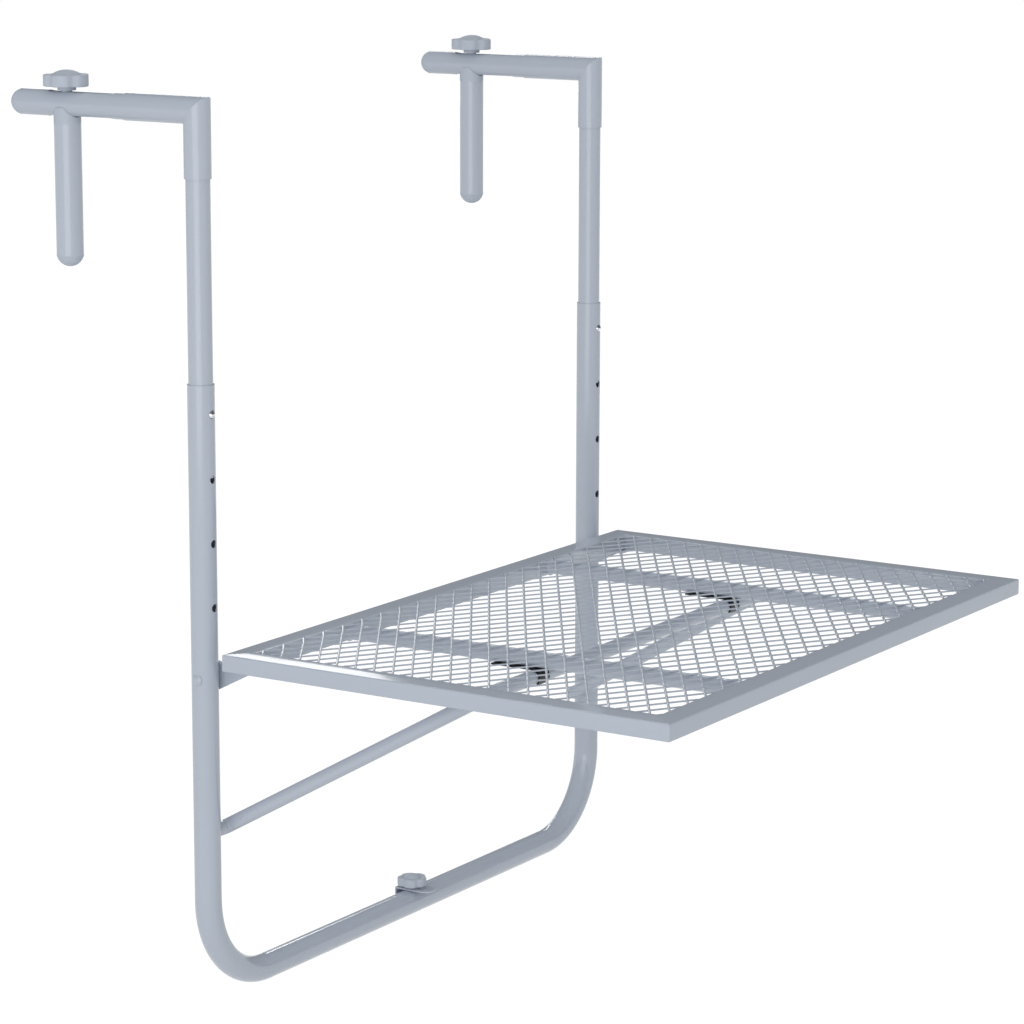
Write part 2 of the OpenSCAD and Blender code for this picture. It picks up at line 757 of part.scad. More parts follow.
module stop_knob() {
    color(plastic) translate([0, post_y, stop_z + stop_t + slide_gap]) rotate([0, 0, stop_turn])
        star_knob(stop_knob_d, stop_lobes, stop_lobe_d, stop_knob_h, stop_edge, stop_dome_d, stop_dome_h,
            stop_dome_d, stop_collar_h, stop_stud_d);
}

module stop_stud() {
    top = stop_z + stop_t + slide_gap + stop_collar_h + stop_knob_h - knob_roof;
    low = stop_z - stop_stud_len;
    color(steel) translate([0, post_y, low]) cylinder(d = stop_stud_d, h = top - low);
}

// Threaded insert fixed in the bottom bar
module stop_insert() {
    top = bar_z + post_r - insert_set;
    color(steel) translate([0, post_y, top - insert_h]) difference() {
        cylinder(d = insert_d, h = insert_h);
        translate([0, 0, -past]) cylinder(d = stop_stud_d + 2 * bolt_gap, h = insert_h + 2 * past);
    }
}

elbow(-1);  // left_elbow
elbow(1);  // right_elbow
arm(-1);  // left_arm
arm(1);  // right_arm
arm_cap(-1);  // left_arm_cap
arm_cap(1);  // right_arm_cap
inner_post(-1);  // left_inner_post
inner_post(1);  // right_inner_post
button(-1);  // left_button
button(1);  // right_button
button_spring(-1);  // left_button_spring
button_spring(1);  // right_button_spring
peg(-1);  // left_peg
peg(1);  // right_peg
peg_saddle(-1);  // left_peg_saddle
peg_saddle(1);  // right_peg_saddle
peg_cap(-1);  // left_peg_cap
peg_cap(1);  // right_peg_cap
saddle_nut(-1);  // left_saddle_nut
saddle_nut(1);  // right_saddle_nut
clamp_knob(-1);  // left_clamp_knob
clamp_knob(1);  // right_clamp_knob
clamp_stud(-1);  // left_clamp_stud
clamp_stud(1);  // right_clamp_stud
lower_frame();
pivot_bolt(-1);  // left_pivot_bolt
pivot_bolt(1);  // right_pivot_bolt
pivot_spacer(-1);  // left_pivot_spacer
pivot_spacer(1);  // right_pivot_spacer
pivot_nut(-1);  // left_pivot_nut
pivot_nut(1);  // right_pivot_nut
rim_front();
rim_rear();
rim_side(-1);  // rim_left
rim_side(1);  // rim_right
mesh_layer(1, mesh_z - strand_t);  // mesh_upper_strands
mesh_layer(-1, mesh_z - 2 * strand_t);  // mesh_lower_strands
rail(-1);  // left_rail
rail(1);  // right_rail
hinge_bracket(-1);  // left_hinge_bracket
hinge_bracket(1);  // right_hinge_bracket
hook_clip(-1);  // left_hook_clip
hook_clip(1);  // right_hook_clip
clip_rivets();
brace();
stop_plate();
stop_knob();
stop_stud();
stop_insert();
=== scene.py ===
import json
import math

import bmesh
import bpy
from mathutils import Matrix, Vector


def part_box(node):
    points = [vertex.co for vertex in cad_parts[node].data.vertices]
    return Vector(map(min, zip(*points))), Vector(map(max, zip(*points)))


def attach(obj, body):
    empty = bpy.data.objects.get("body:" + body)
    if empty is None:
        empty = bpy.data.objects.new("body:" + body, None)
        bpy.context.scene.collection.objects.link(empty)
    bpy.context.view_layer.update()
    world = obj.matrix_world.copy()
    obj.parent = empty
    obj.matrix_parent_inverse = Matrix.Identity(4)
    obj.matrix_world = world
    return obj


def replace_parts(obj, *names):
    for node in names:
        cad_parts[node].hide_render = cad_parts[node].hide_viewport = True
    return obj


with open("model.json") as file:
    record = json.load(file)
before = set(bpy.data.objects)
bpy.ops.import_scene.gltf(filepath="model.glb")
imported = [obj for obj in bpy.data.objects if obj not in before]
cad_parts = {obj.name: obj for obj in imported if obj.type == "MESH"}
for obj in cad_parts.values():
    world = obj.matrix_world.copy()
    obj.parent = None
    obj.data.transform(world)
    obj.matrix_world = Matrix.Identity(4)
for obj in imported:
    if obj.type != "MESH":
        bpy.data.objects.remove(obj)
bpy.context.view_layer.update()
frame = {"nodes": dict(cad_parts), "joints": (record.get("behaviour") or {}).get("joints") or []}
scene = bpy.context.scene

# Camera: a long lens a little above the hooks, front-left of the table, looking down
# about eleven degrees, so that the right end of the table is the far one.
CAMERA_PLACE = (-2.4384, -1.66205, 0.2199)
CAMERA_HEADING, CAMERA_DOWN, CAMERA_ROLL = -57.562, 10.903, 0.121     # degrees
LENS, SENSOR = 124.2, 36                                              # millimetres
camera_data = bpy.data.cameras.new("camera")
camera_data.lens = LENS
camera_data.sensor_width = SENSOR
camera_data.clip_end = 30
camera = bpy.data.objects.new("camera", camera_data)
camera.matrix_world = (
    Matrix.Translation(CAMERA_PLACE)
    @ Matrix.Rotation(math.radians(CAMERA_HEADING), 4, "Z")
    @ Matrix.Rotation(math.radians(90 - CAMERA_DOWN), 4, "X")
    @ Matrix.Rotation(math.radians(CAMERA_ROLL), 4, "Z")
)
scene.collection.objects.link(camera)
scene.camera = camera

# Studio air: what lights the table from all round is a soft grey. The camera sees the plain
# white of the photographer's backdrop, and so do the glossy paint, the metal and anything
# clear, up to where the backdrop ends and the dim ceiling begins.
SOFT_GREY, SOFT_STRENGTH = (0.97, 0.985, 1.0, 1), 0.64
BACKDROP, CEILING = (1, 1, 1, 1), (0.14, 0.145, 0.155, 1)
BACKDROP_ENDS = (0.02, 0.09)    # sines of the elevations between which the ceiling takes over


def seen_rays(nodes, links):
    """Two switches: one is on for a ray that the camera, a glossy surface or a clear one sends,
    and the other for a ray of the camera alone."""
    rays = nodes.new("ShaderNodeLightPath")
    seen = rays.outputs["Is Camera Ray"]
    for kind in ("Is Glossy Ray", "Is Transmission Ray"):
        either = nodes.new("ShaderNodeMath")
        either.operation = "MAXIMUM"
        links.new(seen, either.inputs[0])
        links.new(rays.outputs[kind], either.inputs[1])
        seen = either.outputs[0]
    return seen, rays.outputs["Is Camera Ray"]


scene.view_settings.view_transform = "Standard"
studio = bpy.data.worlds.new("studio")
scene.world = studio
studio.use_nodes = True
nodes, links = studio.node_tree.nodes, studio.node_tree.links
nodes.clear()
seen, by_camera = seen_rays(nodes, links)
soft_light = nodes.new("ShaderNodeBackground")
soft_light.inputs["Color"].default_value = SOFT_GREY
soft_light.inputs["Strength"].default_value = SOFT_STRENGTH
towards = nodes.new("ShaderNodeTexCoord")
parts = nodes.new("ShaderNodeSeparateXYZ")
links.new(towards.outputs["Generated"], parts.inputs[0])
height = nodes.new("ShaderNodeMapRange")
height.interpolation_type = "SMOOTHSTEP"
height.inputs["From Min"].default_value, height.inputs["From Max"].default_value = BACKDROP_ENDS
links.new(parts.outputs["Z"], height.inputs["Value"])
mirrored = nodes.new("ShaderNodeMath")
mirrored.operation = "SUBTRACT"
mirrored.use_clamp = True
links.new(height.outputs["Result"], mirrored.inputs[0])
links.new(by_camera, mirrored.inputs[1])
room = nodes.new("ShaderNodeMix")
room.data_type = "RGBA"
room.inputs[6].default_value = BACKDROP
room.inputs[7].default_value = CEILING
links.new(mirrored.outputs[0], room.inputs[0])
backdrop = nodes.new("ShaderNodeBackground")
backdrop.inputs["Strength"].default_value = 1.0
links.new(room.outputs[2], backdrop.inputs["Color"])
choice = nodes.new("ShaderNodeMixShader")
links.new(seen, choice.inputs[0])
links.new(soft_light.outputs[0], choice.inputs[1])
links.new(backdrop.outputs[0], choice.inputs[2])
world_out = nodes.new("ShaderNodeOutputWorld")
links.new(choice.outputs[0], world_out.inputs["Surface"])

# Floor: a wide sheet of pale studio board, well under the hanging table. The camera sees it
# near white, and it still takes a faint soft shadow.
FLOOR_LEVEL, FLOOR_REACH = -1.1, 12
BOARD_GREY = (0.8, 0.8, 0.8, 1)
BOARD_GLOW, GLOW_SHARE = 1.1, 0.88    # how bright the board shows, and for how much of a seen ray
floor_mesh = bpy.data.meshes.new("floor")
floor_mesh.from_pydata(
    [(x * FLOOR_REACH, y * FLOOR_REACH, FLOOR_LEVEL) for x, y in ((-1, -1), (1, -1), (1, 1), (-1, 1))],
    [], [(0, 1, 2, 3)])
floor = bpy.data.objects.new("floor", floor_mesh)
scene.collection.objects.link(floor)
board = bpy.data.materials.new("studio_board")
board.use_nodes = True
nodes, links = board.node_tree.nodes, board.node_tree.links
nodes.clear()
seen, _ = seen_rays(nodes, links)
share = nodes.new("ShaderNodeMath")
share.operation = "MULTIPLY"
share.inputs[1].default_value = GLOW_SHARE
links.new(seen, share.inputs[0])
lit = nodes.new("ShaderNodeBsdfDiffuse")
lit.inputs["Color"].default_value = BOARD_GREY
white = nodes.new("ShaderNodeEmission")
white.inputs["Strength"].default_value = BOARD_GLOW
choice = nodes.new("ShaderNodeMixShader")
links.new(share.outputs[0], choice.inputs[0])
links.new(lit.outputs[0], choice.inputs[1])
links.new(white.outputs[0], choice.inputs[2])
board_out = nodes.new("ShaderNodeOutputMaterial")
links.new(choice.outputs[0], board_out.inputs["Surface"])
floor_mesh.materials.append(board)


# Lamps: a very broad soft box, behind the camera and a little to its left, shapes the tubes.
# Three bright boards behind the table, each over its own range of directions, draw the white
# glints on the rim, the mesh and the bends of the tubes.
def soft_box(name, place, aim, width, height, watts):
    """A rectangular area lamp at a place, turned towards another."""
    lamp = bpy.data.lights.new(name, "AREA")
    lamp.shape = "RECTANGLE"
    lamp.size = width
    lamp.size_y = height
    lamp.energy = watts
    box = bpy.data.objects.new(name, lamp)
    box.location = place
    box.rotation_euler = (Vector(aim) - Vector(place)).to_track_quat("-Z", "Y").to_euler()
    scene.collection.objects.link(box)


def bright_board(name, seen_from, azimuth, elevation, radiance, away=4.5):
    """A board that fills a range of azimuth and elevation, in degrees, seen from a place."""
    half_across, half_up = (math.radians((high - low) / 2) for low, high in (azimuth, elevation))
    turn, lift = (math.radians((high + low) / 2) for low, high in (azimuth, elevation))
    width, height = 2 * away * math.tan(half_across) * math.cos(lift), 2 * away * math.tan(half_up)
    place = Vector(seen_from) + away * Vector(
        (math.cos(lift) * math.cos(turn), math.cos(lift) * math.sin(turn), math.sin(lift)))
    soft_box(name, place, seen_from, width, height, radiance * math.pi * width * height)


soft_box("key_box", (-4.36, -1.66, 0.25), aim=(0, -0.2, -0.4), width=3.9, height=3.4, watts=80)
bright_board("high_panel", (-0.3, -0.2, -0.41), azimuth=(35.3, 42), elevation=(15.2, 21), radiance=3.2)
bright_board("edge_panel", (0, -0.01, -0.69), azimuth=(29, 41), elevation=(24, 29), radiance=6.0, away=15)
bright_board("low_panel", (-0.1, -0.2, -0.41), azimuth=(42.5, 53), elevation=(1, 14.5), radiance=2.2)

# Lower frame: one round steel tube bent into a U, drilled for the snap buttons and the pivots,
# and powder coated in a pale blue-grey with a faint orange-peel surface.
PAINT = (0.470, 0.516, 0.590)


def shader(name, colour, roughness, metallic=0.0, specular=0.5):
    """A new material with its principled shader, for the finishes below."""
    material = bpy.data.materials.new(name)
    material.use_nodes = True
    bsdf = material.node_tree.nodes["Principled BSDF"]
    bsdf.inputs["Base Color"].default_value = (*colour, 1)
    bsdf.inputs["Roughness"].default_value = roughness
    bsdf.inputs["Metallic"].default_value = metallic
    bsdf.inputs["Specular IOR Level"].default_value = specular
    return material, bsdf


def noise(material, scale, detail=2.0, stretch=(1, 1, 1)):
    """A noise fixed to the piece, in grains per metre."""
    nodes, links = material.node_tree.nodes, material.node_tree.links
    place = nodes.new("ShaderNodeTexCoord")
    spread = nodes.new("ShaderNodeMapping")
    spread.inputs["Scale"].default_value = stretch
    grain = nodes.new("ShaderNodeTexNoise")
    grain.inputs["Scale"].default_value = scale
    grain.inputs["Detail"].default_value = detail
    links.new(place.outputs["Object"], spread.inputs["Vector"])
    links.new(spread.outputs["Vector"], grain.inputs["Vector"])
    return grain.outputs["Fac"]


def vary(material, bsdf, fac, socket, low, high):
    """Drive the colour or the roughness of the shader between two values by a noise."""
    nodes, links = material.node_tree.nodes, material.node_tree.links
    if socket == "Base Color":
        mix = nodes.new("ShaderNodeMix")
        mix.data_type = "RGBA"
        mix.inputs[6].default_value = (*low, 1)
        mix.inputs[7].default_value = (*high, 1)
        links.new(fac, mix.inputs[0])
        links.new(mix.outputs[2], bsdf.inputs[socket])
    else:
        span = nodes.new("ShaderNodeMapRange")
        span.inputs["To Min"].default_value = low
        span.inputs["To Max"].default_value = high
        links.new(fac, span.inputs["Value"])
        links.new(span.outputs["Result"], bsdf.inputs[socket])


def bumps(material, bsdf, fac, depth, strength=1.0):
    """Raise the surface by a noise, as far as depth in metres."""
    nodes, links = material.node_tree.nodes, material.node_tree.links
    bump = nodes.new("ShaderNodeBump")
    bump.inputs["Strength"].default_value = strength
    bump.inputs["Distance"].default_value = depth
    links.new(fac, bump.inputs["Height"])
    links.new(bump.outputs["Normal"], bsdf.inputs["Normal"])


def tone(colour, by):
    """The same colour, lighter or darker."""
    return tuple(c * by for c in colour)


def finish_on(material, *names):
    """Give CAD nodes one finish, in every slot that they have."""
    for name in names:
        mesh = frame["nodes"][name].data
        if not mesh.materials:
            mesh.materials.append(material)
        for i in range(len(mesh.materials)):
            mesh.materials[i] = material


def finish_on_both(material, *names):
    """The same for nodes that come as a left one and a right one."""
    for name in names:
        finish_on(material, "left_" + name, "right_" + name)


powder, bsdf = shader("powder_coat", PAINT, roughness=0.1)
vary(powder, bsdf, noise(powder, 9, 3), "Base Color", tone(PAINT, 0.98), tone(PAINT, 1.02))
vary(powder, bsdf, noise(powder, 60, 4), "Roughness", 0.07, 0.13)
bumps(powder, bsdf, noise(powder, 650, 2), depth=0.00001, strength=0.6)
finish_on(powder, "lower_frame")

# Inner posts: two thinner steel tubes that slide in the lower frame and set its height. They are
# coated like the frame, and their upper ends are fixed in the elbows.
finish_on_both(powder, "inner_post")

# Snap buttons: polished plated steel pins that stand out through the holes of the posts. Each is
# held out by a V-shaped leaf of spring steel, which lies inside the inner post.
chrome, bsdf = shader("plated_steel", (0.80, 0.81, 0.83), roughness=0.12, metallic=1.0)
vary(chrome, bsdf, noise(chrome, 900, 3), "Roughness", 0.08, 0.18)
bumps(chrome, bsdf, noise(chrome, 400, 2), depth=0.00002, strength=0.3)
finish_on_both(chrome, "button")

spring_steel, bsdf = shader("spring_steel", (0.36, 0.36, 0.38), roughness=0.35, metallic=1.0)
vary(spring_steel, bsdf, noise(spring_steel, 300, 3), "Roughness", 0.28, 0.45)
bumps(spring_steel, bsdf, noise(spring_steel, 500, 3, stretch=(1, 1, 12)), depth=0.00003, strength=0.4)
finish_on_both(spring_steel, "button_spring")

# Hangers: each mitred elbow is two welded steel sleeves, and the thinner hook arm with its long
# slot slides into the level one. Both have the frame's powder coat.
finish_on_both(powder, "elbow", "arm")

# Caps: domed plugs of satin moulded plastic in the colour of the paint, pressed into the open
# ends of the hook arms and of the pegs.
PLASTIC = (0.480, 0.526, 0.600)
moulded, bsdf = shader("moulded_plastic", PLASTIC, roughness=0.5, specular=0.3)
vary(moulded, bsdf, noise(moulded, 30, 3), "Base Color", tone(PLASTIC, 0.97), tone(PLASTIC, 1.03))
vary(moulded, bsdf, noise(moulded, 120, 3), "Roughness", 0.44, 0.56)
bumps(moulded, bsdf, noise(moulded, 2200, 2), depth=0.00003, strength=0.5)
finish_on_both(moulded, "arm_cap", "peg_cap")

# Clamps: a coated tube peg hangs behind the railing on a coped plastic saddle, and a five-lobed
# plastic knob on a stud draws it up against the arm. The stud is coloured near black as painted
# shade, for the dark gap under the knob's collar. The knob's shoulder runs in the arm's slot, and
# its low dome sits in a fine moulded ring.
LOBES = 5
LOBE_FACE, LOBE_FALL = 15, 0.01593     # half a lobe's face in degrees, and the share it falls off by
CLAMP_TURN, CLAMP_RADIUS, CLAMP_DIP = 57, 0.01835, 0.0021    # degrees, to the lobes, between them
CLAMP_SHOULDER = (   # height over the CAD knob's underside, and radius
    (-0.00155, 0.0039), (-0.00135, 0.00415), (-0.00005, 0.00415))
CLAMP_COLLAR = (   # the same
    (0, 0.0069), (0.00015, 0.00735), (0.00255, 0.00735), (0.00295, 0.0079), (0.0030, 0.0090))
CLAMP_BODY = (0.0030, 0.0124)          # heights of the lobed body's underside and top
CLAMP_EDGE = (   # round of the body's two edges: from its flat towards its side, and inset
    (0, 0.0012), (0.00015, 0.0005), (0.00055, 0.0001), (0.00105, 0))
CLAMP_TOP = (0.01245, 0.0024)          # height of the top inside its edge, and inset
CLAMP_RING = (   # groove round the dome: height and radius
    (0.01245, 0.0122), (0.01215, 0.0120), (0.01215, 0.0117), (0.01255, 0.01155))
CLAMP_DOME = (0.01255, 0.0115, 0.0034)                       # height of its foot, radius, rise
DOME_POWER = 2.2                       # above 2, the dome is flatter on top than a parabola
DOME_RINGS = (0.999, 0.97, 0.9, 0.78, 0.62, 0.42, 0.2)       # shares of the dome's radius
SHARP = 50                             # degrees between two faces, past which their edge stays sharp


def new_piece(name, made, finish, body):
    """Turn finished bmesh work into a smooth-shaded piece that rides on a body of the part."""
    bmesh.ops.recalc_face_normals(made, faces=made.faces)
    mesh = bpy.data.meshes.new(name)
    made.to_mesh(mesh)
    made.free()
    mesh.shade_smooth()
    mesh.set_sharp_from_angle(angle=math.radians(SHARP))
    mesh.materials.append(finish)
    piece = bpy.data.objects.new(name, mesh)
    scene.collection.objects.link(piece)
    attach(piece, body)
    return piece


def join_rings(made, rings):
    """Walls between rings of the same number of points, one after the other."""
    for ring, following in zip(rings, rings[1:]):
        for i in range(len(ring)):
            j = (i + 1) % len(ring)
            made.faces.new((ring[i], ring[j], following[j], following[i]))


def star_grip(name, node, body, turn, radius, dip, foot, slab, edge, top, groove, dome):
    """A lobed grip that stands in for a CAD knob and turns with its screw. It is built in rings
    from the foot up: round ones, then the lobed slab, then round ones again to the dome."""
    screw_joint = next(j for j in frame["joints"] if j["child"] == body)
    (axis_x, axis_y), base = screw_joint["pos_m"][:2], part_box(node)[0][2]
    pitch, steps = 360 / LOBES, 150

    def lobed(angle):
        off = abs((math.degrees(angle) - turn + pitch / 2) % pitch - pitch / 2)
        face = radius * (1 - LOBE_FALL * (min(off, LOBE_FACE) / LOBE_FACE) ** 2)
        beyond = max(off - LOBE_FACE, 0) / (pitch / 2 - LOBE_FACE)
        return face - dip * (1 - math.cos(math.pi * beyond)) / 2

    def ring(z, round_radius=None, inset=0):
        points = []
        for angle in (math.tau * i / steps for i in range(steps)):
            reach = (round_radius or lobed(angle)) - inset
            points.append(grip.verts.new((axis_x + reach * math.cos(angle),
                                          axis_y + reach * math.sin(angle), base + z)))
        return points

    grip = bmesh.new()
    under, over = slab
    dome_z, dome_r, dome_h = dome
    rings = [ring(z, round_radius) for z, round_radius in foot]
    rings += [ring(under + in_z, inset=inset) for in_z, inset in edge]
    rings += [ring(over - in_z, inset=inset) for in_z, inset in reversed(edge)]
    rings.append(ring(top[0], inset=top[1]))
    rings += [ring(z, round_radius) for z, round_radius in groove]
    rings += [ring(dome_z + dome_h * (1 - share ** DOME_POWER), dome_r * share) for share in DOME_RINGS]
    join_rings(grip, rings)
    grip.faces.new(rings[0])
    summit = grip.verts.new((axis_x, axis_y, base + dome_z + dome_h))
    for i in range(steps):
        grip.faces.new((rings[-1][i], rings[-1][(i + 1) % steps], summit))
    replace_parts(new_piece(name, grip, moulded, body), node)


finish_on_both(powder, "peg")
finish_on_both(moulded, "peg_saddle")
for side in ("left", "right"):
    star_grip("clamp_grip_" + side, side + "_clamp_knob", side + "_clamp_screw",
              CLAMP_TURN, CLAMP_RADIUS, CLAMP_DIP, CLAMP_SHOULDER + CLAMP_COLLAR,
              CLAMP_BODY, CLAMP_EDGE, CLAMP_TOP, CLAMP_RING, CLAMP_DOME)
zinc, bsdf = shader("zinc_plated", (0.60, 0.61, 0.63), roughness=0.32, metallic=1.0)
vary(zinc, bsdf, noise(zinc, 150, 4), "Base Color", (0.52, 0.53, 0.55), (0.68, 0.69, 0.71))
vary(zinc, bsdf, noise(zinc, 500, 3), "Roughness", 0.24, 0.42)
bumps(zinc, bsdf, noise(zinc, 900, 2), depth=0.00002, strength=0.4)
finish_on_both(zinc, "saddle_nut")
# Studs: a near-black colour, painted shade that darkens the gap under each knob's collar.
stud_shade, bsdf = shader("stud_painted_shade", (0.035, 0.036, 0.040), roughness=0.5, metallic=0.6, specular=0.3)
vary(stud_shade, bsdf, noise(stud_shade, 300, 3), "Roughness", 0.4, 0.6)
bumps(stud_shade, bsdf, noise(stud_shade, 900, 2), depth=0.00003, strength=0.5)
finish_on_both(stud_shade, "clamp_stud")

# Table rim: four rectangular steel tubes, mitred and welded at the corners, ground flush and
# coated. Their tops fall off a little towards the outer edge, and every edge is softly rounded.
rim_low, rim_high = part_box("rim_left")
RIM_SIDE, RIM_WIDTH = -rim_low[0], rim_high[0] - rim_low[0]
RIM_FRONT, RIM_REAR = rim_low[1], rim_high[1]
RIM_UNDER, RIM_TOP = rim_low[2], rim_high[2]
UNDER_EDGE = 0.0010                    # radius of the two lower edges
TOP_LINE = (   # over the top: distance from the outer face, and depth under the flat
    (0, 0.0016), (0.00014, 0.00093), (0.00040, 0.00062), (0.00076, 0.00045), (0.00110, 0.00041),
    (0.00135, 0.00040), (0.0050, 0.00026), (0.0120, 0.00002), (0.0128, 0), (0.0187, 0),
    (0.0190, 0.00001), (0.01950, 0.00014), (0.01986, 0.00050), (RIM_WIDTH, 0.001))
outline = [(across, RIM_TOP - depth) for across, depth in TOP_LINE]
under_line = [(UNDER_EDGE * (1 - math.cos(a)), RIM_UNDER + UNDER_EDGE * (1 - math.sin(a)))
              for a in (math.radians(turned) for turned in (0, 30, 60, 90))]
outline += [(RIM_WIDTH - across, z) for across, z in under_line]
outline += reversed(under_line)
corners = [(side * RIM_SIDE, y) for side, y in (
    (-1, RIM_REAR), (-1, RIM_FRONT), (1, RIM_FRONT), (1, RIM_REAR))]
for k, name in enumerate(("left", "front", "right", "rear")):
    bar = bmesh.new()
    ends = []
    for x, y in (corners[k], corners[(k + 1) % 4]):
        inward_x, inward_y = -math.copysign(1, x), 1 if y == RIM_FRONT else -1
        ends.append([bar.verts.new((x + across * inward_x, y + across * inward_y, z))
                     for across, z in outline])
    join_rings(bar, ends)
    for end in ends:
        bar.faces.new(end)
    rim_tube = new_piece("rim_tube_" + name, bar, powder, "table")
    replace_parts(rim_tube, "rim_" + name)

# Table mesh: one sheet of expanded steel, slit and drawn into diamonds and rolled flat. Its
# strands keep softly rounded edges. It lies on the rails, is welded all round to the rim's inner
# walls, and along the rear its uncut loops show as a row of rounded hooks.
HOLE_X, HOLE_Y = 0.0135, 0.0087        # half diagonals of a diamond, from crossing to crossing
FIRST_X, FIRST_Y = -0.002, RIM_REAR - RIM_WIDTH - 0.0002       # a crossing in the rear row
SHEET_IN = 0.0003                      # how far the sheet's cut edges run into the rim's walls
SHEET_SIDE, SHEET_FRONT = RIM_SIDE - RIM_WIDTH + SHEET_IN, RIM_FRONT + RIM_WIDTH - SHEET_IN
HOOK_REACH = 0.0011                    # how far the rear hooks lap over the rim
SHEET_TOP, SHEET_THICK = RIM_TOP + 0.00015, 0.00113
SHEET_UNDER = SHEET_TOP - SHEET_THICK
STRAND = (   # half width of a strand at each level, and that level's depth under the sheet's top
    (0.00010, 0), (0.00044, 0.00003), (0.00074, 0.00012),
    (0.00092, 0.00026), (0.00099, 0.00044), (0.00092, SHEET_THICK))
LEAN = 0.00013                         # how far a strand's long edges lie above and under its axis
LEAN_OVER = 0.001                      # from a hole's middle line to where its edges lean in full
CUT_X, CUT_Y = 0.0008, 0.0006          # cut corners of a hole, at its sides and at its other two tips
BLUNT_X, BLUNT_Y = 0.55, 0.3           # shares of those cuts that the tip itself lies back
HOOK_HALF, HOOK_FALL, HOOK_BLUNT = 0.0008, 0.00052, 0.00022    # the same for a rear hook's tip
SHARED = 1e5                           # crossings nearer than a hundredth of a millimetre are one
ROWS = math.ceil((FIRST_Y - SHEET_FRONT) / HOLE_Y)
COLUMNS = math.ceil(SHEET_SIDE / (2 * HOLE_X)) + 1             # on each side of the first crossing


def hole_corners(half):
    """Outline of a rounded diamond hole about its centre: four corners of three points each."""
    side = math.hypot(HOLE_X, HOLE_Y)
    tip_x, tip_y = HOLE_X - half * side / HOLE_Y, HOLE_Y - half * side / HOLE_X
    along_x, along_y = HOLE_X / side, HOLE_Y / side
    right = [(tip_x - CUT_X * along_x, -CUT_X * along_y), (tip_x - BLUNT_X * CUT_X, 0),
             (tip_x - CUT_X * along_x, CUT_X * along_y)]
    rear = [(CUT_Y * along_x, tip_y - CUT_Y * along_y), (0, tip_y - BLUNT_Y * CUT_Y),
            (-CUT_Y * along_x, tip_y - CUT_Y * along_y)]
    return [right, rear, [(-x, -y) for x, y in right], [(-x, -y) for x, y in rear]]


def hook_tip(half):
    """Outer edge of the strand where it turns back at a crossing of the rear row."""
    tip = half * math.hypot(HOLE_X, HOLE_Y) / HOLE_X
    return [(-HOOK_HALF, tip - HOOK_FALL), (0, tip - HOOK_BLUNT), (HOOK_HALF, tip - HOOK_FALL)]


sheet = bmesh.new()
crossings = {}


def crossing(x, y):
    """The top and bottom points of a crossing, made once for all the holes that share it."""
    key = (round(x * SHARED), round(y * SHARED))
    if key not in crossings:
        crossings[key] = [sheet.verts.new((x, y, z)) for z in (SHEET_TOP, SHEET_UNDER)]
    return crossings[key]


def fill_beside(places, corners, closed):
    """Top, wall and underside of the strands, between a run of crossings and the edge that
    passes them. corners holds, for each layer, three points of the edge at every crossing."""
    rows = [[[sheet.verts.new((x, y, SHEET_TOP - depth + lift)) for x, y, lift in trio] for trio in layer]
            for layer, (half, depth) in zip(corners, STRAND)]
    for c, place in enumerate(places):
        top, under = crossing(*place)
        for a in (0, 1):
            sheet.faces.new((top, rows[0][c][a + 1], rows[0][c][a]))
            sheet.faces.new((under, rows[-1][c][a], rows[-1][c][a + 1]))
            for upper, lower in zip(rows, rows[1:]):
                sheet.faces.new((upper[c][a], upper[c][a + 1], lower[c][a + 1], lower[c][a]))
        if c == len(places) - 1 and not closed:
            continue
        d = (c + 1) % len(places)
        next_top, next_under = crossing(*places[d])
        sheet.faces.new((top, next_top, rows[0][d][0], rows[0][c][2]))
        sheet.faces.new((next_under, under, rows[-1][c][2], rows[-1][d][0]))
        for upper, lower in zip(rows, rows[1:]):
            sheet.faces.new((upper[c][2], upper[d][0], lower[d][0], lower[c][2]))


def moved(points, x, y, lift=None):
    """Points moved to a place, each with its height on the leaning strand."""
    return [(x + px, y + py, LEAN * (max(-1, min(1, py / LEAN_OVER)) if lift is None else lift))
            for px, py in points]


for row in range(1, ROWS + 1):
    for i in range(-COLUMNS, COLUMNS):
        x = FIRST_X + 2 * HOLE_X * i + (0 if row % 2 else HOLE_X)
        y = FIRST_Y - HOLE_Y * row
        lap = HOOK_REACH if row == 1 else 0
        around = [(x + HOLE_X, y), (x, y + HOLE_Y + lap), (x - HOLE_X, y), (x, y - HOLE_Y)]
        fill_beside(around, [[moved(corner, x, y + (lap if c == 1 else 0))
                              for c, corner in enumerate(hole_corners(half))]
                             for half, _ in STRAND], closed=True)
rear_row = []
for i in range(-COLUMNS, COLUMNS):
    x = FIRST_X + 2 * HOLE_X * i
    rear_row += [(x, FIRST_Y + HOOK_REACH), (x + HOLE_X, FIRST_Y - HOLE_Y)]
fill_beside(rear_row, [[moved(hook_tip(half), x, y, lift=-1) if k % 2 == 0
                        else moved(hole_corners(half)[3], x, y + HOLE_Y)
                        for k, (x, y) in enumerate(rear_row)] for half, _ in STRAND], closed=False)
for place, outward in (((SHEET_SIDE, 0, 0), (1, 0, 0)), ((-SHEET_SIDE, 0, 0), (-1, 0, 0)),
                       ((0, SHEET_FRONT, 0), (0, -1, 0))):
    bmesh.ops.bisect_plane(sheet, geom=sheet.verts[:] + sheet.edges[:] + sheet.faces[:],
                           plane_co=place, plane_no=outward, clear_outer=True)
bmesh.ops.holes_fill(sheet, edges=[e for e in sheet.edges if e.is_boundary], sides=0)
expanded_sheet = new_piece("expanded_sheet", sheet, powder, "table")
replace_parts(expanded_sheet, "mesh_upper_strands", "mesh_lower_strands")

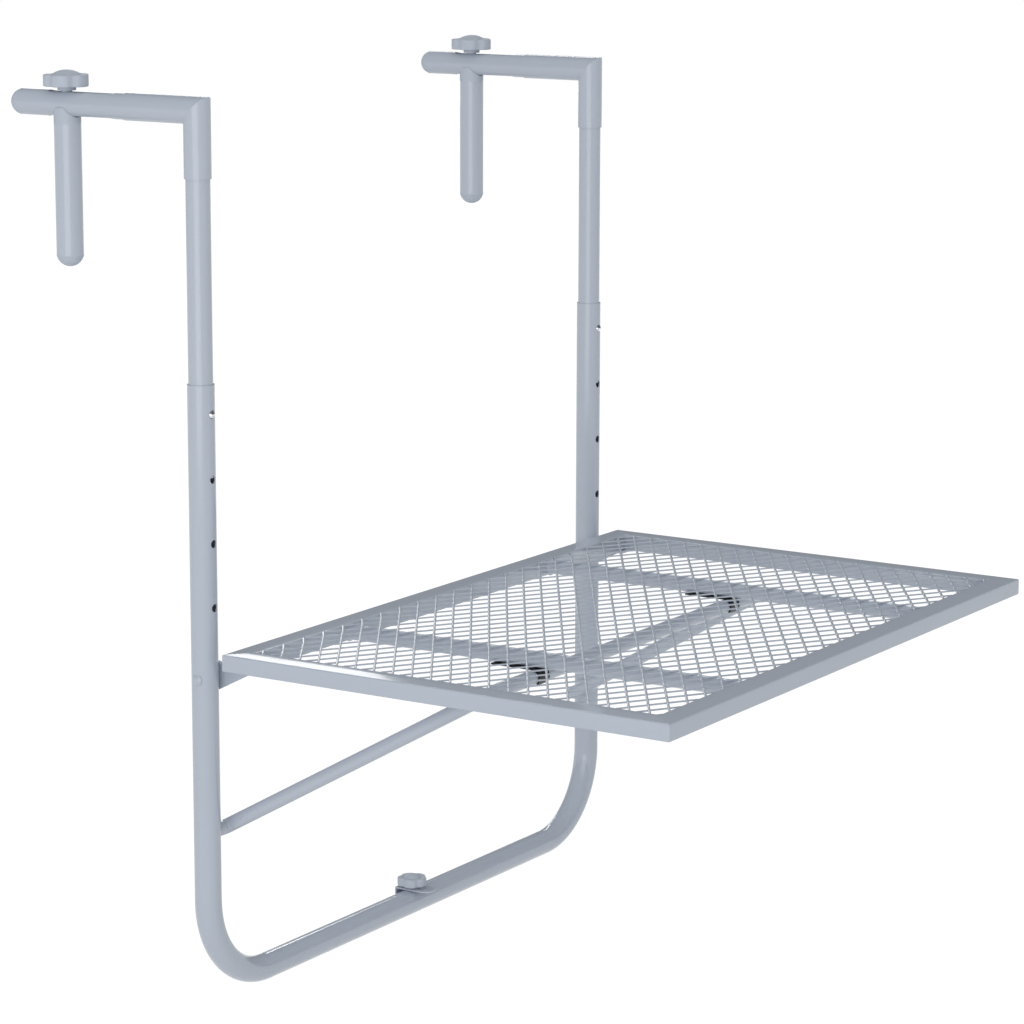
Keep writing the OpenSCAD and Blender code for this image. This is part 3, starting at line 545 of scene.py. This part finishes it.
# Rails: two round steel tubes that carry the mesh from below, welded between the front rim and
# the rear one with a small bead of weld at each end, and coated with the rest.
RAIL_RADIUS, RAIL_SUNK = 0.00638, 0.00006     # the tubes press a little into the sheet's underside
RAIL_X = (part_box("right_rail")[0][0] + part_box("right_rail")[1][0]) / 2
RAIL_Z = SHEET_UNDER + RAIL_SUNK - RAIL_RADIUS
RAIL_IN = 0.0004                              # and their ends run a little into the rim's walls
RAIL_FRONT, RAIL_REAR = RIM_FRONT + RIM_WIDTH - RAIL_IN, RIM_REAR - RIM_WIDTH + RAIL_IN
BEAD = ((0, 0.0016), (0.0010, 0.0011), (0.0021, 0.0003), (0.0030, 0))    # from an end, over the tube
RAIL_STEPS = 40
rail_line = [(RAIL_REAR - along, more) for along, more in BEAD]
rail_line += [(RAIL_FRONT + along, more) for along, more in reversed(BEAD)]
for side, x in (("left", -RAIL_X), ("right", RAIL_X)):
    tube = bmesh.new()
    rings = [[tube.verts.new((x + (RAIL_RADIUS + more) * math.cos(a), y,
                              RAIL_Z + min((RAIL_RADIUS + more) * math.sin(a), RAIL_RADIUS)))
              for a in (math.tau * i / RAIL_STEPS for i in range(RAIL_STEPS))] for y, more in rail_line]
    join_rings(tube, rings)
    tube.faces.new(rings[0])
    tube.faces.new(rings[-1])
    rail = new_piece("rail_tube_" + side, tube, powder, "table")
    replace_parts(rail, side + "_rail")

# Hinge: a folded steel bracket under each rear end of the rim turns on a domed bolt through the
# lower frame's post. A zinc plated spacer keeps it off the post, and a nut of the same holds it.
finish_on_both(powder, "hinge_bracket", "pivot_bolt")
finish_on_both(zinc, "pivot_nut", "pivot_spacer")

# Brace: one coated steel tube bent into a splayed U. Its ends turn out into the posts, and its
# crossbar carries the tabletop.
finish_on(powder, "brace")

# Clips: two hooks bent from strips of spring steel with a black coating. Each is riveted under a
# rail and snaps over the brace's crossbar.
black, bsdf = shader("black_coat", (0.008, 0.008, 0.009), roughness=0.34, specular=0.3)
vary(black, bsdf, noise(black, 90, 3), "Roughness", 0.28, 0.42)
bumps(black, bsdf, noise(black, 1200, 2), depth=0.00003, strength=0.5)
finish_on_both(black, "hook_clip")
finish_on(zinc, "clip_rivets")

# Stop: a slotted steel plate on the bottom bar, turned down behind it to rest on the railing. A
# small star knob on a stud, screwed into a zinc plated insert, holds it. The stud has the clamps'
# near-black colour, painted shade under the knob.
STOP_TURN, STOP_RADIUS, STOP_DIP = 59, 0.01278, 0.0016       # as for the clamps' knobs
STOP_COLLAR = ((0, 0.0071), (0.0002, 0.0075), (0.0016, 0.0075), (0.0019, 0.0080))
STOP_BODY = (0.0019, 0.0089)
STOP_EDGE = ((0, 0.0010), (0.0001, 0.0004), (0.0004, 0.0001), (0.0008, 0))
STOP_TOP = (0.0089, 0.0018)
STOP_RING = ((0.0089, 0.0081), (0.0087, 0.0079), (0.0087, 0.0077), (0.0090, 0.0076))
STOP_DOME = (0.0090, 0.0075, 0.0028)
finish_on(powder, "stop_plate")
star_grip("stop_grip", "stop_knob", "stop_screw", STOP_TURN, STOP_RADIUS, STOP_DIP,
          STOP_COLLAR, STOP_BODY, STOP_EDGE, STOP_TOP, STOP_RING, STOP_DOME)
# The stud's near-black colour is painted shade under the knob.
finish_on(stud_shade, "stop_stud")
finish_on(zinc, "stop_insert")
